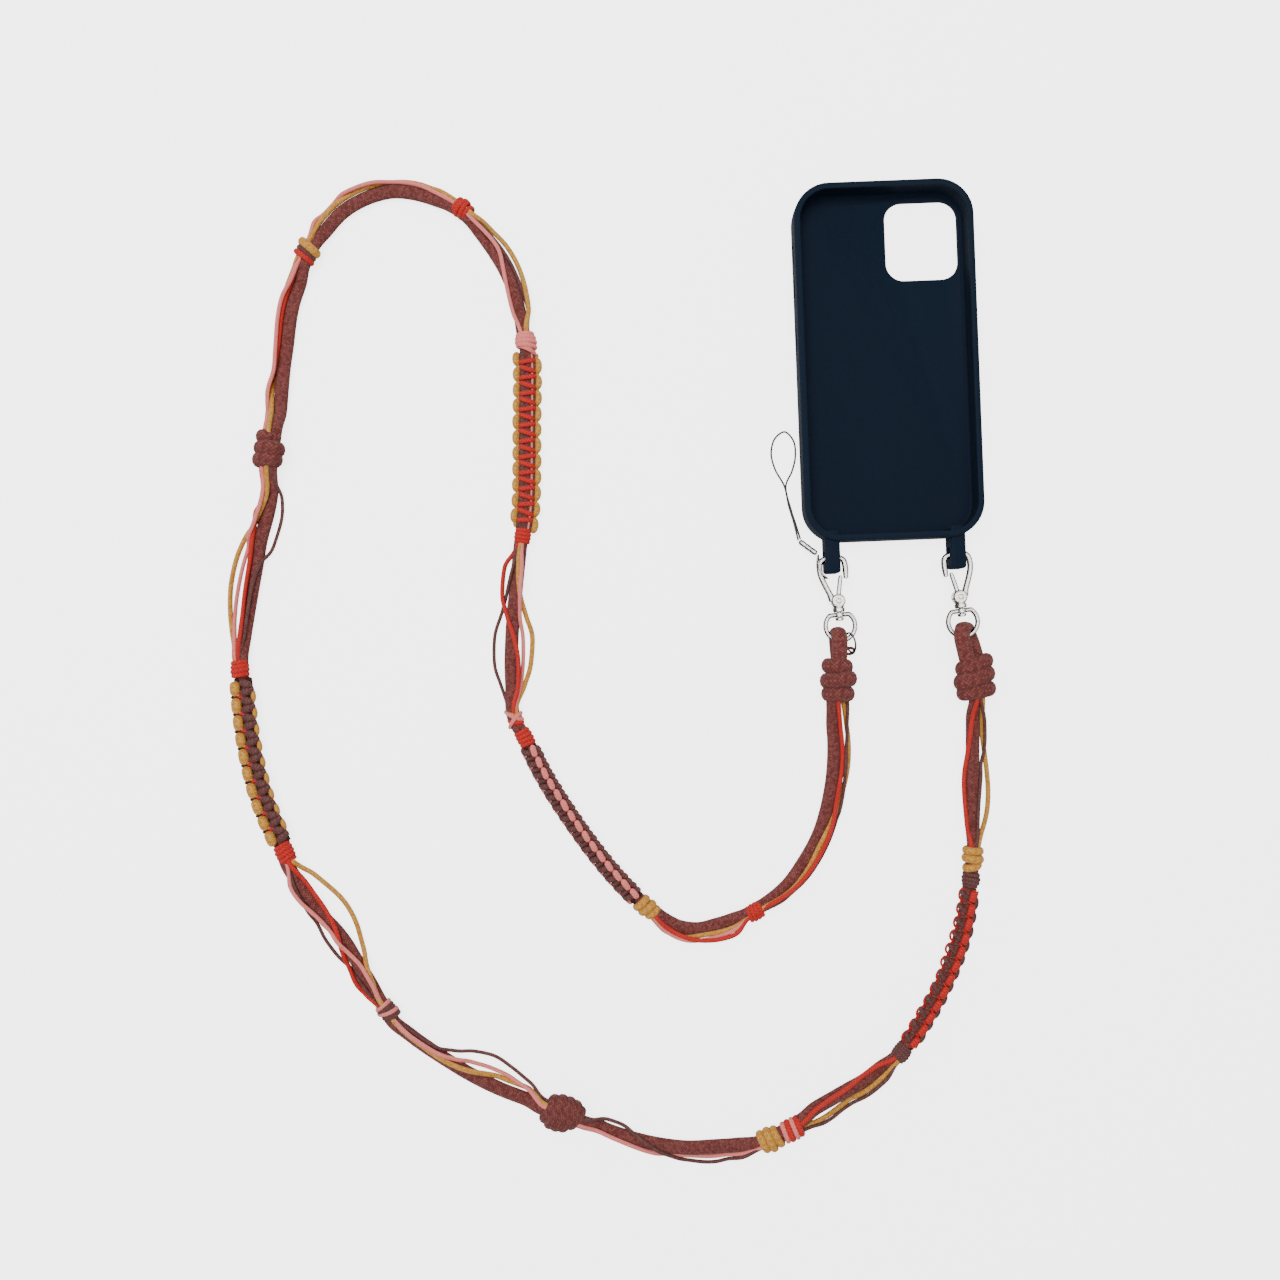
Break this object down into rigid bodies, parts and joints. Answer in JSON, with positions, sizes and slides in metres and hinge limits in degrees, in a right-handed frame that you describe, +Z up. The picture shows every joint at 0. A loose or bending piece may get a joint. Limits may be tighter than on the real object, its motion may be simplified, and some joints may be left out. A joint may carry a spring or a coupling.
{
  "type": "phone crossbody strap with its clip-on case",
  "caption": "Long loop of knotted, wrapped and braided cords ending in swivel snap hooks that hold a plain open phone case by its pierced lugs.",
  "frame": {"origin": "middle of the footprint, on the table that the object lies on", "axes": "+Z up from the table, +Y towards the top end of the case, +X towards the case's side of the loop"},
  "size_m": [0.3226, 0.4154, 0.0126],
  "materials": {
    "case": "soft-touch, matte",
    "metal": "polished",
    "dark_metal": "dark plated",
    "string": "fine twisted string",
    "brick_cord": "thick braided cord",
    "red_cord": "waxed cord",
    "pink_cord": "waxed cord",
    "mustard_cord": "braided satin cord",
    "brown_cord": "thin waxed cord"
  },
  "bodies": {
    "strap": {"phone_case": "case", "hook_left": "metal", "ring_left": "metal", "hook_right": "metal", "ring_right": "metal", "jump_ring": "dark_metal", "lanyard_ferrule": "metal", "lanyard_eye": "metal", "lanyard_loop": "string", "end_knot_left": "brick_cord", "wrap_1": "red_cord", "wrap_2": "mustard_cord", "wrap_3": "red_cord", "wrap_4": "pink_cord", "wrap_5": "red_cord", "wrap_6": "pink_cord", "wrap_7": "red_cord", "wrap_8": "mustard_cord", "mid_knot_left": "brick_cord", "wrap_9": "red_cord", "wrap_10": "red_cord", "wrap_11": "brown_cord", "mid_knot_right": "brick_cord", "wrap_12": "mustard_cord", "wrap_13": "red_cord", "wrap_14": "brown_cord", "wrap_15": "brown_cord", "wrap_16": "mustard_cord", "end_knot_right": "brick_cord", "run_1": "brick_cord", "run_2": "brick_cord", "run_3": "brick_cord", "run_4": "brick_cord", "run_5": "brick_cord", "run_6": "brick_cord", "run_7": "brick_cord", "run_8": "brick_cord", "run_9": "brick_cord", "run_10": "brick_cord", "run_11": "brick_cord", "run_12": "brick_cord", "braid_1": "pink_cord", "braid_2": "mustard_cord", "braid_3": "mustard_cord", "braid_4": "brown_cord"},
    "gate_left": {"gate_left": "metal"},
    "gate_right": {"gate_right": "metal"}
  },
  "joints": [
    {"name": "gate_left_hinge", "type": "hinge", "parent": "strap", "child": "gate_left", "pos_m": [0.09526, 0.02971, 0.0056], "axis": [0, 0, 1], "range_deg": [0, 22], "stiffness_Nm_per_rad": 0.002},
    {"name": "gate_right_hinge", "type": "hinge", "parent": "strap", "child": "gate_right", "pos_m": [0.14591, 0.03141, 0.0056], "axis": [0, 0, -1], "range_deg": [0, 22], "stiffness_Nm_per_rad": 0.002}
  ]
}
